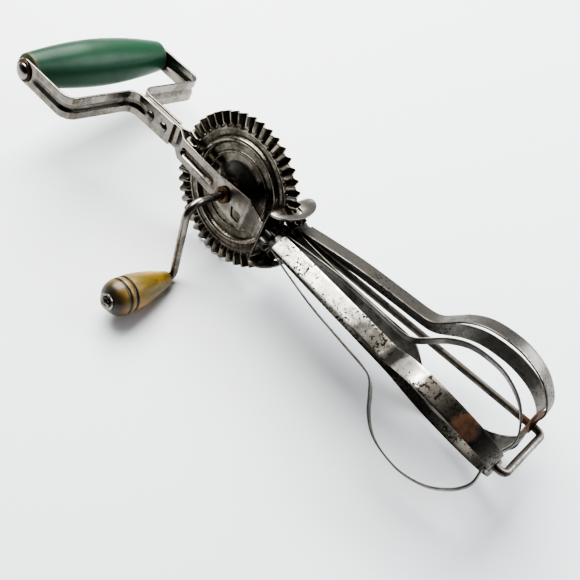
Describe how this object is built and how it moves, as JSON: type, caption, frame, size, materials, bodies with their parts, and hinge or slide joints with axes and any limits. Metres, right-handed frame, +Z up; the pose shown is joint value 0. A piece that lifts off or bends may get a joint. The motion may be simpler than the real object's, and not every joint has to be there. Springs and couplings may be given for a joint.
{
  "type": "rotary egg beater",
  "caption": "Hand-cranked kitchen whisk: a side crank and toothed wheel spin two strip-metal dashers below a D-shaped wooden-grip handle.",
  "frame": {"origin": "under the middle of the bounding box, at the height of its lowest point, which is the crank knob", "axes": "+X runs from the handle to the foot of the dashers, +Y points away from the crank side, +Z is up with the crank hanging down"},
  "size_m": [0.3086, 0.1202, 0.0939],
  "materials": {
    "green_paint": "satin dark green paint on turned wood",
    "ochre_wood": "worn ochre stain on turned wood",
    "nickel_plate": "tarnished nickel plate",
    "worn_nickel": "dull, grimy nickel plate",
    "blackened_steel": "dark oiled steel",
    "tinned_strip": "speckled tin plate with rust near the foot",
    "bare_wire": "dark steel wire",
    "brown_steel": "steel stained brown"
  },
  "bodies": {
    "frame": {"grip": "green_paint", "grip_rod": "nickel_plate", "front_grip_washer": "brown_steel", "rear_grip_washer": "brown_steel", "front_half_strap": "nickel_plate", "rear_half_strap": "nickel_plate", "near_neck_rivet": "nickel_plate", "far_neck_rivet": "nickel_plate", "front_frame_plate": "nickel_plate", "rear_frame_plate": "nickel_plate", "pinion_guard": "nickel_plate", "front_shaft_bush": "brown_steel", "rear_shaft_bush": "brown_steel", "foot_wire": "bare_wire"},
    "crank": {"crank_rod": "nickel_plate", "drive_wheel": "worn_nickel", "front_wheel_hub": "brown_steel", "rear_wheel_hub": "brown_steel", "crank_retainer": "nickel_plate", "knob_washer": "nickel_plate"},
    "knob": {"knob": "ochre_wood"},
    "front_dasher": {"front_pinion": "blackened_steel", "front_outer_loop": "tinned_strip", "front_inner_loop": "tinned_strip", "front_foot_washer": "brown_steel"},
    "rear_dasher": {"rear_pinion": "blackened_steel", "rear_outer_loop": "tinned_strip", "rear_inner_loop": "tinned_strip", "rear_foot_washer": "brown_steel"}
  },
  "joints": [
    {"name": "crank_turn", "type": "hinge", "parent": "frame", "child": "crank", "pos_m": [-0.02842, 0.01183, 0.05491], "axis": [0, 1, 0], "continuous": true},
    {"name": "knob_spin", "type": "hinge", "parent": "crank", "child": "knob", "pos_m": [-0.02562, -0.03818, 0.0091], "axis": [0, 1, 0], "continuous": true},
    {"name": "front_dasher_spin", "type": "hinge", "parent": "frame", "child": "front_dasher", "pos_m": [0.00562, 0.00373, 0.05491], "axis": [0.9971, -0.076, 0], "continuous": true},
    {"name": "rear_dasher_spin", "type": "hinge", "parent": "frame", "child": "rear_dasher", "pos_m": [0.00562, 0.01992, 0.05491], "axis": [0.9971, 0.076, 0], "continuous": true}
  ],
  "couplings": [
    {"joint": "front_dasher_spin", "follows": "crank_turn", "ratio": -5},
    {"joint": "rear_dasher_spin", "follows": "crank_turn", "ratio": 5}
  ]
}
